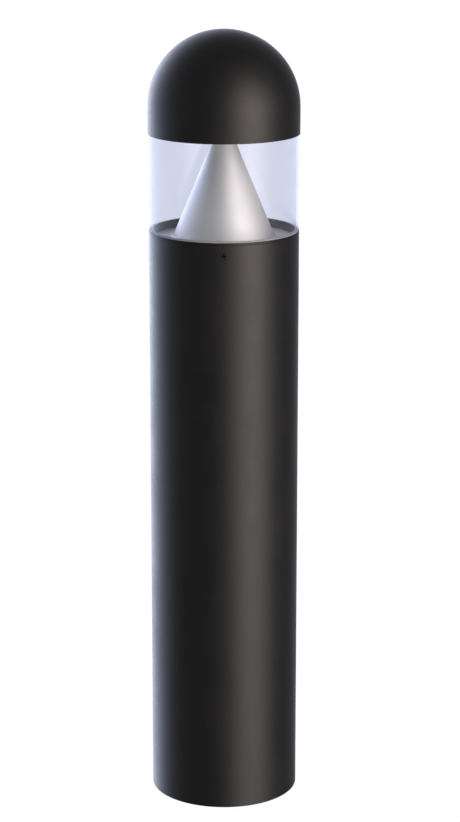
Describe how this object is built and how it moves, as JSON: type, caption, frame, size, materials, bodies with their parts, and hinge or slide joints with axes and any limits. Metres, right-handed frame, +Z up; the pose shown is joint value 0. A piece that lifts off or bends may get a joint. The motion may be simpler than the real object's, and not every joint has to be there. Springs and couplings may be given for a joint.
{
  "type": "bollard light",
  "caption": "Dome-topped cylindrical bollard light: a bolt-down steel shaft and a lift-off head with a clear lens, cone reflector and driver.",
  "frame": {"origin": "centre of the base, on the ground plane", "axes": "+Z up along the shaft; -Y is the front, where the first lock screw is; +X to the right"},
  "size_m": [0.2048, 0.2048, 1.067],
  "materials": {
    "black_steel": "satin",
    "black_cast_aluminium": "satin",
    "black_screw": "satin",
    "clear_glass": "gloss",
    "spun_aluminium": "satin",
    "heat_sink_aluminium": "satin",
    "driver_case": "matte",
    "zinc_steel": "satin",
    "weld_steel": "satin",
    "tinned_copper": "satin",
    "clear_silicone": "satin",
    "black_rubber": "matte",
    "clear_polycarbonate": "gloss",
    "board_white": "matte",
    "led_phosphor": "gloss",
    "white_plastic": "satin",
    "cream_plastic": "matte",
    "wire_brown": "satin",
    "wire_blue": "satin",
    "wire_green": "satin",
    "wire_red": "satin",
    "wire_black": "satin"
  },
  "bodies": {
    "shaft": {"shaft_tube": "black_steel", "base_plate": "black_steel", "base_welds": "weld_steel", "earth_stud": "zinc_steel", "earth_lug": "tinned_copper", "earth_washer": "zinc_steel", "earth_nut": "zinc_steel"},
    "head": {"collar": "black_cast_aluminium", "lens_gasket_lower": "clear_silicone", "lens": "clear_glass", "lens_gasket_upper": "clear_silicone", "cone_reflector": "spun_aluminium", "apex_nut": "spun_aluminium", "stem": "zinc_steel", "stem_washers": "zinc_steel", "stem_nuts": "zinc_steel", "stem_bushings": "white_plastic", "dome": "black_cast_aluminium", "heat_sink": "heat_sink_aluminium", "heat_sink_screws": "zinc_steel", "led_board": "board_white", "leds": "led_phosphor", "led_connector": "white_plastic", "led_board_screws": "zinc_steel", "led_cover": "clear_polycarbonate", "led_cover_gasket": "black_rubber", "led_cover_screws": "zinc_steel", "wire_grommet": "black_rubber", "driver_bracket": "zinc_steel", "bracket_screws": "zinc_steel", "driver": "driver_case", "driver_screws": "zinc_steel", "terminal_block": "cream_plastic", "terminal_block_screws": "zinc_steel", "terminal_clamp_screws": "zinc_steel", "bond_terminal": "tinned_copper", "bond_screw": "zinc_steel", "line_wire": "wire_brown", "neutral_wire": "wire_blue", "bond_wire": "wire_green", "led_wire_positive": "wire_red", "led_wire_negative": "wire_black"},
    "front_lock": {"lock_screw_1": "black_screw"},
    "right_lock": {"lock_screw_2": "black_screw"},
    "left_lock": {"lock_screw_3": "black_screw"}
  },
  "joints": [
    {"name": "head_lift", "type": "slide", "parent": "shaft", "child": "head", "axis": [0, 0, 1], "range_m": [0, 0.06]},
    {"name": "front_lock_out", "type": "slide", "parent": "shaft", "child": "front_lock", "axis": [0, -1, 0], "range_m": [0, 0.0035]},
    {"name": "right_lock_out", "type": "slide", "parent": "shaft", "child": "right_lock", "axis": [0.866, 0.5, 0], "range_m": [0, 0.0035]},
    {"name": "left_lock_out", "type": "slide", "parent": "shaft", "child": "left_lock", "axis": [-0.866, 0.5, 0], "range_m": [0, 0.0035]}
  ]
}
